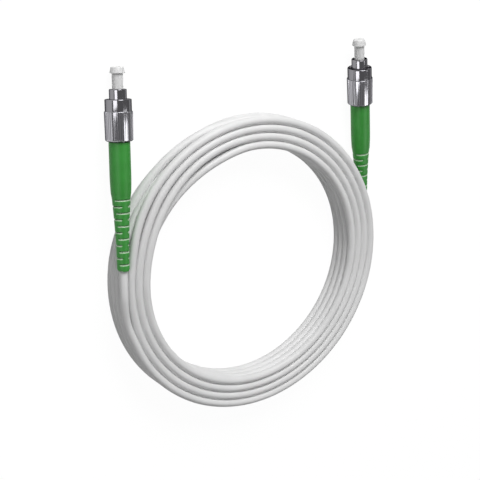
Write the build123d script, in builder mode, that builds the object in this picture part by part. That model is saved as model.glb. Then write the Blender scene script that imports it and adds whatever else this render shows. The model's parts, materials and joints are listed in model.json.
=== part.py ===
from build123d import *
import os
from math import asin, atan2, cos, degrees, hypot, pi, radians, sin, sqrt, tan

os.makedirs("parts", exist_ok=True)

# Simplex fibre patch cord: a 3 mm cable wound in a flat coil, with a threaded round
# connector for a 2.5 mm ferrule with an 8 degree end face on each end.
# It lies on a surface at Z = 0. The origin is the centre of the coil's eye on that surface,
# +Z is up and +Y points the way the connectors do. Connector a is at the left (-X), b at the right.
# Stations are distances along a connector's axis from the cable end of its boot, in mm.

# Cable and coil
cable_d = 3.0
cable_r = cable_d / 2
outer_turn_r = 54.4
turns_across = 4
layers = 4
lay_gap = 0.05

# Boot: grip part, shoulder and slotted tail
boot_length = 44.5
boot_grip_wall = 0.6
boot_waist_step = 0.2
boot_neck_step = 0.45
boot_tail_wall = 0.65
boot_flare_rise = 0.2
boot_grip_start = 33.0
boot_waist_station = 27.0
boot_neck_station = 25.6
boot_flare_station = 12.0
boot_edge_chamfer = 0.25
slot_rows = 11
slot_first = 2.33
slot_pitch = 2.25
slot_height = 0.7
slot_bridge = 2.0
slot_row_turn = 90.0

# Coupling nut
nut_gap = 0.2
thread_minor_r = 3.6
thread_mouth_chamfer = 0.4
skirt_wall = 1.3
knurl_length = 10.15
knurl_grooves = 40
knurl_groove_size = 0.25
groove_turn = 45.0
knurl_rear_round = 1.1
knurl_front_chamfer = 0.25
collar_wall = 0.98
collar_length = 4.1
collar_edge_round = 0.35
nut_lip_length = 2.5

# Key barrel
barrel_r = 3.0
barrel_projection = 3.35
barrel_edge_round = 0.35
barrel_flange_length = 1.7
barrel_in_boot = 1.5
front_bore_wall = 0.65
front_bore_depth = 6.1
spring_bore_wall = 0.7
lip_room = 0.2
lip_length = 1.0
key_width = 2.1
key_length = 5.3
key_setback = 1.5

# Ferrule, its flange and its spring
ferrule_r = 1.25
ferrule_projection = 4.7
ferrule_chamfer_length = 0.6
ferrule_face_r = 0.75
polish_angle = 8.0
flange_length = 3.5
flange_socket_depth = 2.7
flange_tail_wall = 1.0
flange_tail_room = 0.25
notch_count = 4
notch_width = 0.8
notch_depth = 0.45
spring_wire_r = 0.2
spring_wire_flats = 8
spring_room = 0.2
spring_turns = 5.5
ferrule_travel = 1.0

# Buffered fibre
buffer_r = 0.45
buffer_end_room = 0.2

# Rear body and crimp sleeve
plug_length = 2.2
shoulder_length = 1.2
stem_wall = 1.0
stem_length = 11.5
stem_bore_r = 1.0
stem_groove_count = 4
stem_groove_pitch = 1.6
stem_groove_size = 0.3
sleeve_wall = 0.4
sleeve_front_length = 7.4
sleeve_rear_length = 3.6
sleeve_step = 0.6
jacket_end_gap = 0.5

# Dust cap
cap_wall = 0.63
cap_insertion = 5.0
cap_tube_projection = 5.25
cap_head_step = 0.75
cap_head_taper = 0.5
cap_head_length = 2.2
cap_head_round = 0.4
cap_rim_round = 0.15
cap_end_room = 0.6

# Clearances
running_gap = 0.1
seat_gap = 0.05
ferrule_gap = 0.02
floor_gap = 0.02

# Radii worked out from what each piece goes over or into
knurl_r = thread_minor_r + skirt_wall
collar_r = thread_minor_r + collar_wall
barrel_flange_r = thread_minor_r - running_gap
key_r = thread_minor_r - running_gap
barrel_journal_r = barrel_r + seat_gap
nut_lip_bore_r = barrel_journal_r + running_gap
front_bore_r = barrel_r - front_bore_wall
spring_bore_r = barrel_r - spring_bore_wall
lip_bore_r = ferrule_r + lip_room
flange_r = spring_bore_r - running_gap
buffer_bore_r = buffer_r + seat_gap
flange_tail_r = buffer_bore_r + flange_tail_wall
spring_mean_r = flange_tail_r + spring_room + spring_wire_r
plug_r = spring_bore_r - seat_gap
stem_r = stem_bore_r + stem_wall
sleeve_front_bore_r = stem_r + seat_gap
sleeve_rear_bore_r = cable_r + seat_gap
sleeve_front_r = sleeve_front_bore_r + sleeve_wall
sleeve_rear_r = sleeve_rear_bore_r + sleeve_wall
boot_front_bore_r = barrel_journal_r + seat_gap
boot_cable_bore_r = cable_r + seat_gap
boot_sleeve_bore_r = sleeve_front_r + seat_gap
boot_grip_r = boot_front_bore_r + boot_grip_wall
boot_waist_r = boot_grip_r - boot_waist_step
boot_neck_r = boot_grip_r - boot_neck_step
boot_tail_r = boot_cable_bore_r + boot_tail_wall
boot_flare_r = boot_tail_r + boot_flare_rise
cap_bore_r = ferrule_r + ferrule_gap
cap_tube_r = cap_bore_r + cap_wall
cap_head_r = cap_tube_r + cap_head_step
cap_head_top_r = cap_head_r - cap_head_taper

# Stations worked out from the sizes above
nut_rear = boot_length + nut_gap
knurl_front = nut_rear + knurl_length
nut_front = knurl_front + collar_length
thread_start = nut_rear + nut_lip_length
barrel_front = nut_front + barrel_projection
barrel_rear = boot_length - barrel_in_boot
barrel_flange_start = thread_start + running_gap
barrel_flange_end = barrel_flange_start + barrel_flange_length
lip_front = barrel_front - front_bore_depth
lip_rear = lip_front - lip_length
flange_front = lip_rear - seat_gap
flange_rear = flange_front - flange_length
ferrule_rear = flange_front - flange_socket_depth
ferrule_tip = barrel_front + ferrule_projection
plug_front = barrel_rear + plug_length
flange_tail_end = plug_front + ferrule_travel + flange_tail_room
shoulder_rear = barrel_rear - shoulder_length
stem_rear = shoulder_rear - stem_length
jacket_end = stem_rear - jacket_end_gap
buffer_rear = jacket_end + ferrule_travel + buffer_end_room
sleeve_rear = jacket_end - sleeve_rear_length + sleeve_step
cap_rear = barrel_front - cap_insertion
cap_head_bottom = barrel_front + cap_tube_projection
cap_top = cap_head_bottom + cap_head_length

# Coil sizes
coil_outer_r = outer_turn_r + cable_r
coil_inner_r = outer_turn_r - (turns_across - 1) * cable_d - cable_r
coil_height = layers * cable_d
top_layer_z = coil_height - cable_r
coil_corner_cut = cable_d - cable_r * sqrt(2)

# Where the cord leaves the coil: the top outer turn for a, the bottom outer turn for b
start_angle_a = 200.0
gap_end_angle_a = 155.0
end_angle_b = -14.0
gap_end_angle_b = 110.0
full_turn = 360.0

# Where each boot ends, about the coil's axis, and the way its connector points.
# A heading is measured from +Y towards +X.
boot_end_angle_a = 171.44
boot_end_out_a = 0.99
boot_end_rise_a = 1.14
heading_angle_a = 3.37
boot_end_angle_b = 9.88
boot_end_out_b = 2.93
heading_angle_b = -6.05
lead_run_a = 7.0
lead_run_b = 7.0
bend_share = 0.45


def tilt_to_surface(height, station, radius):
    """Tilt that lets a ring of the connector touch the surface, in degrees."""
    reach = hypot(station, radius)
    return degrees(atan2(radius, station) + asin((floor_gap - height) / reach))


def connector_frame(angle, out, height, heading, tilt):
    """Plane at the boot's cable end: its Z is the connector's axis, its X is level."""
    distance = outer_turn_r + out
    end = (distance * cos(radians(angle)), distance * sin(radians(angle)), height)
    level = cos(radians(tilt))
    forward = (sin(radians(heading)) * level, cos(radians(heading)) * level, sin(radians(tilt)))
    across = (cos(radians(heading)), -sin(radians(heading)), 0)
    return Plane(origin=end, x_dir=across, z_dir=forward)


def section_of(frame):
    """Plane through the axis: local X is the radius and local Y the station."""
    return Plane(origin=frame.origin, x_dir=frame.x_dir, z_dir=-frame.y_dir)


def axis_of(frame):
    return Axis(frame.origin, frame.z_dir)


# Connector a leans over the coil's edge, down to the front edge of its nut's knurl.
# Connector b lies on the surface on its boot's end and the rear edge of its nut.
height_a = top_layer_z + boot_end_rise_a
height_b = boot_tail_r + floor_gap
tilt_a = tilt_to_surface(height_a, knurl_front - knurl_front_chamfer, knurl_r)
tilt_b = tilt_to_surface(height_b, nut_rear + knurl_rear_round, knurl_r)
frames = {
    "a": connector_frame(boot_end_angle_a, boot_end_out_a, height_a, heading_angle_a, tilt_a),
    "b": connector_frame(boot_end_angle_b, boot_end_out_b, height_b, heading_angle_b, tilt_b),
}


def coupling_nut(frame):
    """Plated brass nut: knurled skirt, smooth collar, threaded bore and a rear lip."""
    with BuildPart() as nut:
        with BuildSketch(frame.offset(nut_rear)):
            Circle(knurl_r)
            with PolarLocations(knurl_r, knurl_grooves):
                Rectangle(knurl_groove_size, knurl_groove_size, rotation=groove_turn, mode=Mode.SUBTRACT)
        extrude(amount=knurl_length)
        with BuildSketch(section_of(frame)):
            with BuildLine():
                rear = Line((0, nut_rear), (knurl_r - knurl_rear_round, nut_rear))
                TangentArc(rear @ 1, (knurl_r, nut_rear + knurl_rear_round), tangent=rear % 1)
                Polyline(
                    (knurl_r, nut_rear + knurl_rear_round),
                    (knurl_r, knurl_front - knurl_front_chamfer),
                    (knurl_r - knurl_front_chamfer, knurl_front),
                    (0, knurl_front),
                    (0, nut_rear),
                )
            make_face()
        revolve(axis=axis_of(frame), mode=Mode.INTERSECT)
        with BuildSketch(section_of(frame)):
            with BuildLine():
                side = Line((collar_r, knurl_front), (collar_r, nut_front - collar_edge_round))
                TangentArc(side @ 1, (collar_r - collar_edge_round, nut_front), tangent=side % 1)
                Polyline(
                    (collar_r - collar_edge_round, nut_front),
                    (0, nut_front),
                    (0, knurl_front),
                    (collar_r, knurl_front),
                )
            make_face()
        revolve(axis=axis_of(frame))
        with BuildSketch(section_of(frame)):
            with BuildLine():
                Polyline(
                    (0, nut_rear),
                    (nut_lip_bore_r, nut_rear),
                    (nut_lip_bore_r, thread_start),
                    (thread_minor_r, thread_start),
                    (thread_minor_r, nut_front - thread_mouth_chamfer),
                    (thread_minor_r + thread_mouth_chamfer, nut_front),
                    (0, nut_front),
                    close=True,
                )
            make_face()
        revolve(axis=axis_of(frame), mode=Mode.SUBTRACT)
    return nut.part


def key_barrel(frame):
    """Plated barrel: journal in the nut's lip, retaining flange, key, spring bore and front bore."""
    with BuildPart() as barrel:
        with BuildSketch(section_of(frame)):
            with BuildLine():
                nose = Line((barrel_r, barrel_flange_end), (barrel_r, barrel_front - barrel_edge_round))
                TangentArc(nose @ 1, (barrel_r - barrel_edge_round, barrel_front), tangent=nose % 1)
                Polyline(
                    (barrel_r - barrel_edge_round, barrel_front),
                    (front_bore_r, barrel_front),
                    (front_bore_r, lip_front),
                    (lip_bore_r, lip_front),
                    (lip_bore_r, lip_rear),
                    (spring_bore_r, lip_rear),
                    (spring_bore_r, barrel_rear),
                    (barrel_journal_r, barrel_rear),
                    (barrel_journal_r, barrel_flange_start),
                    (barrel_flange_r, barrel_flange_start),
                    (barrel_flange_r, barrel_flange_end),
                    (barrel_r, barrel_flange_end),
                )
            make_face()
        revolve(axis=axis_of(frame))
        with BuildSketch(frame.offset(barrel_front - key_setback)):
            Circle(key_r)
            Rectangle(key_width, key_r, align=(Align.CENTER, Align.MIN), mode=Mode.INTERSECT)
            Circle(front_bore_r + (barrel_r - front_bore_r) / 2, mode=Mode.SUBTRACT)
        extrude(amount=-key_length)
    return barrel.part


def ferrule(frame):
    """Zirconia ferrule: chamfered nose and an end face polished at an angle."""
    with BuildPart() as pin:
        with BuildSketch(section_of(frame)):
            with BuildLine():
                Polyline(
                    (0, ferrule_rear),
                    (ferrule_r, ferrule_rear),
                    (ferrule_r, ferrule_tip - ferrule_chamfer_length),
                    (ferrule_face_r, ferrule_tip),
                    (0, ferrule_tip),
                    close=True,
                )
            make_face()
        revolve(axis=axis_of(frame))
        face_drop = ferrule_face_r * tan(radians(polish_angle))
        end_face = frame.offset(ferrule_tip - face_drop).rotated((polish_angle, 0, 0))
        split(bisect_by=end_face, keep=Keep.BOTTOM)
    return pin.part


def ferrule_flange(frame):
    """Metal flange pressed on the ferrule's root: notched collar and a tail for the spring."""
    with BuildPart() as flange:
        with BuildSketch(section_of(frame)):
            with BuildLine():
                Polyline(
                    (buffer_bore_r, flange_tail_end),
                    (flange_tail_r, flange_tail_end),
                    (flange_tail_r, flange_rear),
                    (flange_r, flange_rear),
                    (flange_r, flange_front),
                    (ferrule_r, flange_front),
                    (ferrule_r, ferrule_rear),
                    (buffer_bore_r, ferrule_rear),
                    close=True,
                )
            make_face()
        revolve(axis=axis_of(frame))
        with BuildSketch(frame.offset(flange_rear)):
            with PolarLocations(flange_r, notch_count):
                Rectangle(2 * notch_depth, notch_width)
        extrude(amount=flange_length, mode=Mode.SUBTRACT)
    return flange.part


def ferrule_spring(frame):
    """Compression spring between the rear body's plug and the flange, its ends ground flat."""
    height = flange_rear - plug_front
    with BuildPart() as spring:
        with BuildLine():
            seat = frame.offset(plug_front)
            wire = Helix(
                height / spring_turns,
                height,
                spring_mean_r,
                center=seat.origin,
                direction=seat.z_dir,
            )
        with BuildSketch(Plane(origin=wire @ 0, z_dir=wire % 0)):
            RegularPolygon(spring_wire_r, side_count=spring_wire_flats)
        sweep(path=wire, is_frenet=True)
        with BuildSketch(frame.offset(plug_front)):
            Circle(spring_mean_r + 2 * spring_wire_r)
        extrude(amount=height, mode=Mode.INTERSECT)
    return spring.part


def fibre_buffer(frame):
    """Buffered fibre from the jacket's end to the back of the ferrule."""
    with BuildPart() as fibre:
        with BuildSketch(frame.offset(buffer_rear)):
            Circle(buffer_r)
        extrude(amount=ferrule_rear - buffer_rear)
    return fibre.part


def rear_body(frame):
    """Turned body: plug in the barrel, shoulder behind it and a grooved crimp stem."""
    with BuildPart() as body:
        with BuildSketch(section_of(frame)):
            with BuildLine():
                Polyline(
                    (stem_bore_r, stem_rear),
                    (stem_r, stem_rear),
                    (stem_r, shoulder_rear),
                    (barrel_journal_r, shoulder_rear),
                    (barrel_journal_r, barrel_rear),
                    (plug_r, barrel_rear),
                    (plug_r, plug_front),
                    (stem_bore_r, plug_front),
                    close=True,
                )
            make_face()
            grooves = [(stem_r, stem_rear + (i + 1) * stem_groove_pitch) for i in range(stem_groove_count)]
            with Locations(*grooves):
                Rectangle(stem_groove_size, stem_groove_size, rotation=groove_turn, mode=Mode.SUBTRACT)
        revolve(axis=axis_of(frame))
    return body.part


def crimp_sleeve(frame):
    """Stepped sleeve crimped over the stem in front and over the jacket behind."""
    step_rear = stem_rear - sleeve_step
    with BuildPart() as sleeve:
        with BuildSketch(section_of(frame)):
            with BuildLine():
                Polyline(
                    (sleeve_rear_bore_r, sleeve_rear),
                    (sleeve_rear_r, sleeve_rear),
                    (sleeve_rear_r, step_rear),
                    (sleeve_front_r, stem_rear),
                    (sleeve_front_r, stem_rear + sleeve_front_length),
                    (sleeve_front_bore_r, stem_rear + sleeve_front_length),
                    (sleeve_front_bore_r, stem_rear),
                    (sleeve_rear_bore_r, step_rear),
                    close=True,
                )
            make_face()
        revolve(axis=axis_of(frame))
    return sleeve.part


def boot(frame):
    """Moulded strain relief: smooth grip, shoulder, and a tail with crossed rows of slots."""
    sleeve_pocket_start = sleeve_rear - seat_gap
    sleeve_pocket_end = stem_rear + sleeve_front_length + seat_gap
    with BuildPart() as relief:
        with BuildSketch(section_of(frame)):
            with BuildLine():
                flare = Spline(
                    (boot_tail_r, 0),
                    (boot_flare_r, boot_flare_station),
                    (boot_neck_r, boot_neck_station),
                )
                waist = Line(flare @ 1, (boot_waist_r, boot_waist_station))
                Spline(waist @ 1, (boot_grip_r, boot_grip_start), tangents=(waist % 1, (0, 1)))
                grip = Line((boot_grip_r, boot_grip_start), (boot_grip_r, boot_length - boot_edge_chamfer))
                Polyline(
                    grip @ 1,
                    (boot_grip_r - boot_edge_chamfer, boot_length),
                    (boot_front_bore_r, boot_length),
                    (boot_front_bore_r, sleeve_pocket_end),
                    (boot_sleeve_bore_r, sleeve_pocket_end),
                    (boot_sleeve_bore_r, sleeve_pocket_start),
                    (boot_cable_bore_r, sleeve_pocket_start),
                    (boot_cable_bore_r, 0),
                    flare @ 0,
                )
            make_face()
        revolve(axis=axis_of(frame))
        for row in range(slot_rows):
            crossed = slot_row_turn * (row % 2)
            with BuildSketch(frame.offset(slot_first + row * slot_pitch - slot_height / 2)):
                Circle(boot_grip_r)
                Rectangle(2 * boot_grip_r, slot_bridge, rotation=crossed, mode=Mode.SUBTRACT)
            extrude(amount=slot_height, mode=Mode.SUBTRACT)
    return relief.part


def dust_cap(frame):
    """Soft cap: a tube that grips the ferrule inside the barrel and a conical head to pull."""
    with BuildPart() as cap:
        with BuildSketch(section_of(frame)):
            with BuildLine():
                Polyline(
                    (cap_bore_r, cap_rear),
                    (cap_tube_r, cap_rear),
                    (cap_tube_r, cap_head_bottom),
                    (cap_head_r, cap_head_bottom),
                    (cap_head_top_r, cap_top),
                    (0, cap_top),
                    (0, ferrule_tip + cap_end_room),
                    (cap_bore_r, ferrule_tip + cap_end_room),
                    close=True,
                )
            make_face()
        revolve(axis=axis_of(frame))
        rims = cap.edges().filter_by(GeomType.CIRCLE)
        fillet(rims.group_by(axis_of(frame))[-1], cap_head_round)
        rims = cap.edges().filter_by(GeomType.CIRCLE)
        fillet(rims.filter_by(lambda rim: abs(rim.radius - cap_head_r) < seat_gap), cap_rim_round)
    return cap.part


def turned_about_z(angle):
    """Upright plane through the coil's axis at an angle from +X: local X is the radius."""
    across = (cos(radians(angle)), sin(radians(angle)), 0)
    return Plane(origin=(0, 0, 0), x_dir=across, z_dir=(across[1], -across[0], 0))


def cable_coil():
    """Outer shape of the wound turns as one closed ring.

    The outer corner turn is missing from the top between the cord's start and the boot of a,
    and from the bottom after the cord's end towards b. Each corner is cut at 45 degrees,
    along the turn inside it.
    """
    missing_top = (coil_outer_r - cable_d, coil_height - cable_d)
    missing_bottom = (coil_outer_r - cable_d, cable_d)
    full = [
        (coil_inner_r, 0),
        (coil_outer_r, 0),
        (coil_outer_r, coil_height),
        (coil_inner_r, coil_height),
    ]
    without_top = [
        (coil_inner_r, 0),
        (coil_outer_r, 0),
        (coil_outer_r, missing_top[1]),
        missing_top,
        (missing_top[0], coil_height),
        (coil_inner_r, coil_height),
    ]
    without_bottom = [
        (coil_inner_r, 0),
        (missing_bottom[0], 0),
        missing_bottom,
        (coil_outer_r, missing_bottom[1]),
        (coil_outer_r, coil_height),
        (coil_inner_r, coil_height),
    ]
    stretches = [
        (start_angle_a, end_angle_b + full_turn, full, None),
        (end_angle_b, gap_end_angle_b, without_bottom, missing_bottom),
        (gap_end_angle_b, gap_end_angle_a, full, None),
        (gap_end_angle_a, start_angle_a, without_top, missing_top),
    ]
    with BuildPart() as coil:
        for start, end, corners, inner_corner in stretches:
            with BuildSketch(turned_about_z(start)) as outline:
                Polygon(*corners, align=None)
                turn_corners = outline.vertices()
                if inner_corner:
                    turn_corners = turn_corners.sort_by_distance(inner_corner)[1:]
                chamfer(turn_corners, coil_corner_cut)
            revolve(axis=Axis.Z, revolution_arc=end - start)
    return coil.part


def cable_lead(points):
    """Round cable along straight runs and arcs as large as the runs allow."""
    corners = [Vector(*p) for p in points]
    bends = []
    for before, corner, after in zip(corners, corners[1:], corners[2:]):
        turn = radians((corner - before).get_angle(after - corner))
        shorter = min((corner - before).length, (after - corner).length)
        bends.append(bend_share * shorter / tan(turn / 2))
    print("bend radii", [round(bend, 1) for bend in bends])
    with BuildPart() as lead:
        with BuildLine() as route:
            FilletPolyline(*corners, radius=bends)
        with BuildSketch(Plane(origin=route.line @ 0, z_dir=route.line % 0)):
            Circle(cable_r)
        sweep()
    length = sum(edge.length for edge in route.edges())
    share = lead.part.volume / (pi * cable_r**2 * length)
    print("lead length", round(length, 1), "volume over section times length", round(share, 4))
    return lead.part


def coil_exit(angle, height):
    """Where the cord's centre line leaves the coil."""
    distance = outer_turn_r + lay_gap
    return Vector(distance * cos(radians(angle)), distance * sin(radians(angle)), height)


def along_turn(angle):
    """Direction of winding at an angle, anticlockwise from above."""
    return Vector(-sin(radians(angle)), cos(radians(angle)), 0)


# Route of each lead, from the jacket's end in the connector to the coil
boot_end_a = frames["a"].origin
boot_end_b = frames["b"].origin
exit_a = coil_exit(start_angle_a, top_layer_z + lay_gap)
exit_b = coil_exit(end_angle_b, cable_r)
route_a = [
    boot_end_a + frames["a"].z_dir * jacket_end,
    boot_end_a - frames["a"].z_dir * lead_run_a,
    (-54.8, -5.4, 11.65),
    exit_a - along_turn(start_angle_a) * lead_run_a,
    exit_a,
]
route_b = [
    boot_end_b + frames["b"].z_dir * jacket_end,
    boot_end_b - frames["b"].z_dir * lead_run_b,
    exit_b + along_turn(end_angle_b) * lead_run_b,
    exit_b,
]

makers = [
    coupling_nut,
    key_barrel,
    ferrule,
    ferrule_flange,
    ferrule_spring,
    fibre_buffer,
    rear_body,
    crimp_sleeve,
    boot,
    dust_cap,
]
for side, frame in frames.items():
    for make in makers:
        piece = make(frame)
        piece.label = f"{make.__name__}_{side}"
        export_step(piece, f"parts/{piece.label}.step")

coil = cable_coil()
coil.label = "cable_coil"
export_step(coil, "parts/cable_coil.step")

for side, route in {"a": route_a, "b": route_b}.items():
    lead = cable_lead(route)
    lead.label = f"cable_lead_{side}"
    export_step(lead, f"parts/{lead.label}.step")
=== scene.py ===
import json
from math import cos, pi, radians, sin, sqrt

import bmesh
import bpy
from mathutils import Matrix, Vector


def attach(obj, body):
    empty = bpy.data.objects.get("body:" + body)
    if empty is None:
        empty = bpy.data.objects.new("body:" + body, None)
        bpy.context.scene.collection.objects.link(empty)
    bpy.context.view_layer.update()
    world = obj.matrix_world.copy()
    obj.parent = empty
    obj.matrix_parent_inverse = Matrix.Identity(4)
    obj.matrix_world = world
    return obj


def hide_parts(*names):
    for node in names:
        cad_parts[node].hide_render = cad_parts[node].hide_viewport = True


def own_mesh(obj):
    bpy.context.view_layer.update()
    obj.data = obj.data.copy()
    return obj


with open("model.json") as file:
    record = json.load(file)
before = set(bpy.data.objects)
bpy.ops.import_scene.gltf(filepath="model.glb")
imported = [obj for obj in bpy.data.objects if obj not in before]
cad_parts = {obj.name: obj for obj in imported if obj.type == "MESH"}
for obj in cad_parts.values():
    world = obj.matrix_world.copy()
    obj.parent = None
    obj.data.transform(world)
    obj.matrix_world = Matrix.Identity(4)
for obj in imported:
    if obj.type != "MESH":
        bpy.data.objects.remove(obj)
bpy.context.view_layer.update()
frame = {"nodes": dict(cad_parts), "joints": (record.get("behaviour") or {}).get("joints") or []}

# Camera. The patch cord lies on a table and the camera looks down on it from the left, so that
# the connectors point up the picture. Its place and its lens were worked out from the coil's
# outlines and turns in the 480 x 480 picture.
CAMERA_EYE = Vector((-0.23669, 0.14735, 0.36777))
CAMERA_AIM = Vector((-0.00339, 0.00907, 0.006))
CAMERA_ROLL = radians(0.2)
CAMERA_LENS = 91.7
CAMERA_SENSOR = 36.0
CAMERA_NEAR = 0.01


def in_scene(name, data):
    """A new object in the scene for a mesh, a curve, a lamp or a camera."""
    item = bpy.data.objects.new(name, data)
    bpy.context.scene.collection.objects.link(item)
    return item


view_line = (CAMERA_AIM - CAMERA_EYE).normalized()
view_right = view_line.cross(Vector((0, 1, 0))).normalized()
view_up = view_right.cross(view_line)
view_turn = Matrix((view_right, view_up, -view_line)).transposed() @ Matrix.Rotation(CAMERA_ROLL, 3, "Z")
camera_data = bpy.data.cameras.new("camera")
camera_data.lens = CAMERA_LENS
camera_data.sensor_width = CAMERA_SENSOR
camera_data.clip_start = CAMERA_NEAR
camera = in_scene("camera", camera_data)
camera.matrix_world = Matrix.Translation(CAMERA_EYE) @ view_turn.to_4x4()
bpy.context.scene.camera = camera

# Connector places. Each connector has an axis of its own, because one leans on the coil and the
# other lies on the table. The frame gives that axis and the middle of the coupling nut on it.
# Stations are millimetres along the axis from the cable end of the boot, towards the cap.
MM = 0.001
CONNECTORS = "ab"
NUT_REAR = 44.7
NUT_FRONT = 58.95

places = {}
for side in CONNECTORS:
    joint = next(j for j in frame["joints"] if j["name"] == f"nut_turn_{side}")
    axis = Vector(joint["axis"]).normalized()
    level = axis.cross(Vector((0, 0, 1))).normalized()
    down = axis.cross(level)
    boot_end = Vector(joint["pos_m"]) - axis * (NUT_REAR + NUT_FRONT) / 2 * MM
    places[side] = Matrix.Translation(boot_end) @ Matrix((level, down, axis)).transposed().to_4x4()


def at_station(side, station):
    """Point on a connector's axis, in metres."""
    return places[side] @ Vector((0, 0, station * MM))


# Cable. One length of 3 mm simplex cable in an extruded white PVC jacket. It runs out of connector
# a, winds down through four layers of four turns laid side by side, and runs into connector b.
# The turns step over to the next place at the far left, under connector a.
CABLE_D = 3.0
OUTER_TURN_R = 54.4
TURNS_ACROSS = 4
LAYERS = 4
LAST_TURN = TURNS_ACROSS * LAYERS - 1
JACKET_END = 29.8
LEAD_RUN = 7.0
LEAD_A_LANDING = Vector((-54.8, -5.4, 11.65))
BEND_REACH = 5.7
LAY_GAP = 0.05
START_ANGLE = 200.0
END_ANGLE = -14.0
TURN_START = 180.0
STEP_OVER_START = 275.0
STEP_OVER_LAG = 15.0
STEP_OVER_END = 352.0
LAYER_CHANGE_BULGE = 1.15
CONTROLS_PER_TURN = 24
NOISE_LOW = 0.3
NOISE_HIGH = 0.7


def linear(code):
    """Linear colour of an sRGB hex value."""
    channels = [int(code[i:i + 2], 16) / 255 for i in (1, 3, 5)]
    return [c / 12.92 if c <= 0.04045 else ((c + 0.055) / 1.055) ** 2.4 for c in channels] + [1.0]


def add(tree, kind, inputs=None, **settings):
    """Adds a node to a tree. Inputs are values, sockets, or nodes, whose first output is linked."""
    node = tree.nodes.new(kind)
    for name, value in settings.items():
        setattr(node, name, value)
    for name, value in (inputs or {}).items():
        if isinstance(value, bpy.types.Node):
            value = value.outputs[0]
        if isinstance(value, bpy.types.NodeSocket):
            tree.links.new(value, node.inputs[name])
        else:
            node.inputs[name].default_value = value
    return node


def new_material(name, inputs):
    """A material whose surface is one Principled shader with these inputs."""
    material = bpy.data.materials.new(name)
    material.use_nodes = True
    tree = material.node_tree
    tree.nodes.clear()
    shader = add(tree, "ShaderNodeBsdfPrincipled", inputs)
    add(tree, "ShaderNodeOutputMaterial", {"Surface": shader})
    return material, tree, shader


def drifting_tone(tree, shader, size, detail, darker, lighter):
    """Lets the base colour drift between two hex colours, in clouds of a size in millimetres."""
    where = add(tree, "ShaderNodeTexCoord").outputs["Object"]
    cloud = add(tree, "ShaderNodeTexNoise", {"Vector": where, "Scale": 1 / (size * MM), "Detail": detail})
    tone = add(tree, "ShaderNodeValToRGB", {"Fac": cloud})
    for stop, position, colour in ((0, NOISE_LOW, darker), (1, NOISE_HIGH, lighter)):
        tone.color_ramp.elements[stop].position = position
        tone.color_ramp.elements[stop].color = linear(colour)
    tree.links.new(tone.outputs["Color"], shader.inputs["Base Color"])


def fine_grain(tree, shader, size, detail, strength, depth):
    """Gives a surface a grain of a size and a depth in millimetres."""
    where = add(tree, "ShaderNodeTexCoord").outputs["Object"]
    grain = add(tree, "ShaderNodeTexNoise", {"Vector": where, "Scale": 1 / (size * MM), "Detail": detail})
    skin = add(tree, "ShaderNodeBump", {"Height": grain, "Strength": strength, "Distance": depth * MM})
    tree.links.new(skin.outputs["Normal"], shader.inputs["Normal"])


def turn_place(number):
    """Radius and height of a turn of the coil, counted from the top outer one."""
    layer, across = divmod(number, TURNS_ACROSS)
    if layer % 2:
        across = TURNS_ACROSS - 1 - across
    return OUTER_TURN_R - across * CABLE_D, (LAYERS - layer) * CABLE_D - CABLE_D / 2


def coil_point(angle):
    """Centre of the cable at an angle along the whole winding, in millimetres."""
    number, phase = divmod(angle - TURN_START, 360)
    number = int(number)
    radius, height = turn_place(number)
    # The outer turns of the top layer step over last, so that little of it shows.
    start = STEP_OVER_START + STEP_OVER_LAG * max(TURNS_ACROSS - 1 - number, 0)
    if phase > start and number < LAST_TURN:
        share = min((phase - start) / (STEP_OVER_END - start), 1)
        crossed = share * share * (3 - 2 * share)
        next_radius, next_height = turn_place(number + 1)
        sideways = next_radius - radius
        # Where it goes down a layer, it stands out a little from the face of the coil.
        if next_height < height:
            bulge = LAYER_CHANGE_BULGE * (1 - (2 * share - 1) ** 4)
            radius += bulge if radius >= OUTER_TURN_R - CABLE_D else -bulge
        radius += sideways * crossed
        height += (next_height - height) * crossed
    # The curve cuts inside its control points, by the cosine of half a step or so.
    radius /= (3 + cos(2 * pi / CONTROLS_PER_TURN)) / 4
    return Vector((radius * cos(radians(angle)), radius * sin(radians(angle)), height))


def coil_exit(angle, height):
    """Where the cable leaves the coil, and the way it is wound there."""
    distance = OUTER_TURN_R + LAY_GAP
    out = Vector((cos(radians(angle)), sin(radians(angle)), 0))
    return out * distance + Vector((0, 0, height)), Vector((-out.y, out.x, 0))


exit_a, winding_a = coil_exit(START_ANGLE, LAYERS * CABLE_D - CABLE_D / 2 + LAY_GAP)
exit_b, winding_b = coil_exit(END_ANGLE, CABLE_D / 2)
step = 360 / CONTROLS_PER_TURN
whole_angle = (LAST_TURN + 1) * 360 + END_ANGLE - START_ANGLE
coil_steps = int(whole_angle / step)
first_angle = START_ANGLE + (whole_angle - coil_steps * step) / 2 + step / 2
route = [
    at_station("a", JACKET_END) / MM,
    at_station("a", -LEAD_RUN) / MM,
    LEAD_A_LANDING,
    exit_a - winding_a * LEAD_RUN,
    exit_a,
]
route += [coil_point(first_angle + i * step) for i in range(coil_steps)]
route += [
    exit_b,
    exit_b + winding_b * LEAD_RUN,
    at_station("b", -BEND_REACH) / MM,
    at_station("b", BEND_REACH) / MM,
    at_station("b", JACKET_END) / MM,
]

cable_curve = bpy.data.curves.new("cable", "CURVE")
cable_curve.dimensions = "3D"
cable_curve.bevel_depth = CABLE_D / 2 * MM
cable_curve.bevel_resolution = 9
cable_curve.resolution_u = 5
cable_curve.use_fill_caps = True
spline = cable_curve.splines.new("NURBS")
spline.points.add(len(route) - 1)
for control, point in zip(spline.points, route):
    control.co = (*(point * MM), 1)
spline.order_u = 3
spline.use_endpoint_u = True
cable = in_scene("cable", cable_curve)

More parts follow.
